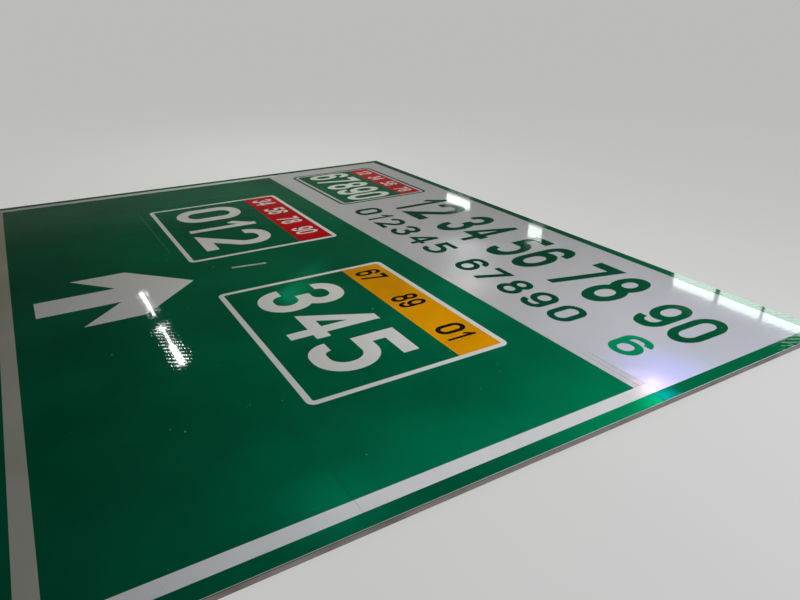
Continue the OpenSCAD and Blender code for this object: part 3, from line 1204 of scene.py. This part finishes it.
@dataclass(frozen=True)
class Studio:
    """The pale floor, the soft light round the panel and the lamps that its glossy face mirrors.

    Attributes:
        floor_half: half the floor's width, in metres.
        soft: how bright the even light is that comes from all round.
        lamps: the lamps.
    """

    floor_half: float = 400.0
    soft: float = 0.04
    lamps: tuple[Lamp, ...] = (
        Lamp("key", (4500, 1800, 2000), (1500, 1200), 12.0, COOL, aim=(1800, 1000, 0)),
        Lamp("fill_middle", (1500, 1100, 2200), (2700, 1700), 1.8, WARM),
        Lamp("fill_far", (-2700, 900, 2600), (1200, 3600), 4.0, WARM, aim=(-2400, 900, 0)),
        mirrored("gleam_upper", (-500, 4500, 5000), (1500, 1500), 22.0, aim=(0, 0, 0)),
        mirrored("gleam_lower", (-500, 1500, 5000), (1500, 1500), 10.0, aim=(0, 0, 0)),
        mirrored("tube_first", (-5715, -300, 2529), (980, 32), 22.0),
        mirrored("tube_second", (-4210, -290, 2529), (1280, 34), 22.0),
        mirrored("tube_second_near", (-3890, -286, 2540), (570, 90), 14.0),
        mirrored("tube_second_far", (-4780, -295, 2540), (110, 130), 10.0),
        pane("pane_left", -2405, 2005, (810, 2010), 4.4),
        pane("pane_middle", -1560, 2005, (720, 2010), 4.4),
        pane("pane_right", -375, 2005, (1550, 2010), 4.4),
        pane("pane_far", -6430, 3060, (440, 280), 4.0),
        pane("pane_farther", -9358, 3040, (1016, 240), 4.0),
        Lamp("tape_light", (2250, -950, 900), (150, 900), 3.6, (0.93, 0.97, 1.0),
             nodes=("border_tape_right",)),
        Lamp("edge_light", (3600, 0, 900), (200, 4000), 2.8, (0.90, 1.0, 0.96), nodes=("sheet_cut_edges",),
             aim=(2380, 0, 26)),
        Lamp("near_patch", (2235, -850, 900), (120, 220), 1.05, (0.86, 0.95, 1.0), 30.0,
             ("ground_film_lower", "ground_film_middle", "border_tape_right")),
        Lamp("shield_patch", (560, -310, 900), (200, 110), 1.5, WHITE, 14.0, FIELD),
        Lamp("shield_patch_second", (425, -205, 900), (120, 120), 0.8, WHITE, 14.0, FIELD),
        Lamp("shield_patch_third", (280, -90, 900), (120, 120), 0.6, WHITE, 14.0, FIELD),
        Lamp("shield_patch_fourth", (150, 35, 900), (120, 120), 0.35, WHITE, 14.0, FIELD),
        Lamp("green_glow", (1130, 470, 900), (420, 160), 1.3, WHITE, 60.0, FIELD),
        Lamp("band_glow_right", (930, 640, 900), (320, 160), 0.52, (1.0, 0.95, 0.76), 26.0, BAND),
        Lamp("band_glow_middle", (690, 820, 900), (320, 160), 0.42, (1.0, 0.97, 0.88), 26.0, BAND),
        Lamp("band_glow_left", (400, 1020, 900), (340, 180), 0.52, (0.96, 0.98, 1.0), 26.0, BAND),
        Lamp("corner_core", (2285, 640, 900), (100, 100), 4.3, (1.0, 0.68, 0.9), 21.0, UPPER),
        Lamp("corner_tape", (2280, 620, 900), (110, 60), 2.0, (1.0, 0.55, 0.62), 12.0,
             ("border_tape_right", "border_tape_top")),
        Lamp("corner_blue", (2230, 800, 900), (200, 200), 2.3, (0.20, 0.28, 1.0), 40.0, UPPER),
        Lamp("corner_strip", (2360, 562, 700), (60, 80), 11.0, (0.05, 1.0, 0.60), 22.0, STRIP),
        Lamp("corner_cyan", (2350, 640, 700), (60, 80), 13.5, (0.15, 0.38, 1.0), 14.0, STRIP),
        Lamp("strip_light", (2350, 315, 700), (60, 240), 2.1, (0.05, 1.0, 0.65), 40.0, FIELD),
    )

    SOFT_TINT, GLOSS_TINT = (0.95, 0.98, 1.0), (1.0, 0.97, 0.93)
    # Ranges of a direction's rise, each with what it is eased into. Above they add up, below they multiply.
    ABOVE = (((0.24, 0.305), (0.054, 0.0)), ((0.30, 0.52), (0.021, 0.003)))
    BELOW = (((-0.75, -0.30), (0.37, 0.56)), ((-0.06, 0.0), (1.0, 0.0)))

    def floor(self) -> None:
        """Lays the floor, which only the camera sees, and only from above."""
        bm = bmesh.new()
        bmesh.ops.create_grid(bm, x_segments=1, y_segments=1, size=self.floor_half)
        mesh = mesh_of(bm, "floor")
        mesh.materials.append(FloorFinish().material())
        obj = show("floor", mesh)
        obj.visible_diffuse = False
        obj.visible_glossy = False
        obj.visible_shadow = False
        obj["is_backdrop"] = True
        log.info("laid the floor")

    def sky(self) -> None:
        """Builds the even light: pale to the camera, soft to surfaces and dim in the face's gloss."""
        world = bpy.data.worlds.new("studio")
        bpy.context.scene.world = world
        graph = Graph(world)
        rise = graph.along(graph.node("TexCoord").outputs["Generated"], (0.0, 0.0, 1.0))
        above = graph.maths("ADD", *(graph.span(rise, *ranges) for ranges in self.ABOVE))
        below = graph.maths("MULTIPLY", *(graph.span(rise, *ranges) for ranges in self.BELOW))
        dim = graph.maths("MAXIMUM", above, below)
        path = graph.node("LightPath").outputs
        floor = FloorFinish()
        soft, gloss, pale = (
            graph.node("Background", {"Color": rgba(colour), "Strength": strength}).outputs[0]
            for colour, strength in ((self.SOFT_TINT, self.soft), (self.GLOSS_TINT, dim),
                                     (floor.colour, floor.far(self.soft))))
        lit = graph.node("MixShader", {0: path["Is Glossy Ray"], 1: soft, 2: gloss})
        seen = graph.node("MixShader", {0: path["Is Camera Ray"], 1: lit.outputs[0], 2: pale})
        graph.node("OutputWorld", {"Surface": seen.outputs[0]})

    def build(self) -> None:
        """Builds floor, sky and lamps."""
        self.floor()
        self.sky()
        for lamp in self.lamps:
            lamp.build()


@dataclass(frozen=True)
class PhotoCamera:
    """The camera, at the photo's viewing angle.

    Attributes:
        place: where it stands, in metres.
        right: the picture's right-hand direction.
        up: the picture's upward direction.
        lens: its focal length, in millimetres.
        sensor: its sensor's width, in millimetres.
        sight: how far it sees, in metres.
    """

    place: Triple = (3.773, -1.496, 1.5165)
    right: Triple = (0.5097, 0.8603, -0.0047)
    up: Triple = (-0.3511, 0.2130, 0.9118)
    lens: float = 28.93
    sensor: float = 36.0
    sight: float = 2000.0

    def build(self) -> None:
        """Sets up the camera."""
        right = Vector(self.right).normalized()
        back = right.cross(Vector(self.up)).normalized()
        data = bpy.data.cameras.new("photo_camera")
        data.lens = self.lens
        data.sensor_width = self.sensor
        data.clip_end = self.sight
        obj = show("photo_camera", data)
        turn = Matrix((right, back.cross(right), back)).transposed().to_4x4()
        obj.matrix_world = Matrix.Translation(self.place) @ turn
        bpy.context.scene.camera = obj


def write_sizes() -> None:
    """Works out the CAD box and the visual model's box, as lists of their corners."""
    boxes = {"cad": CAD_BOX, "visual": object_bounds()}
    sizes = {name: [list(corner) for corner in box] for name, box in boxes.items()}


def main() -> None:
    """Builds everything in order."""
    logging.basicConfig(level=logging.INFO, format="%(message)s")
    bpy.context.scene.view_settings.view_transform = "Standard"
    PhotoCamera().build()
    dress_frame()
    for part in (*NUMERALS, Rivets(), CutEdges(), SeamLap(), Litter(), Studio()):
        part.build()
    write_sizes()


if __name__ == "__main__":
    main()
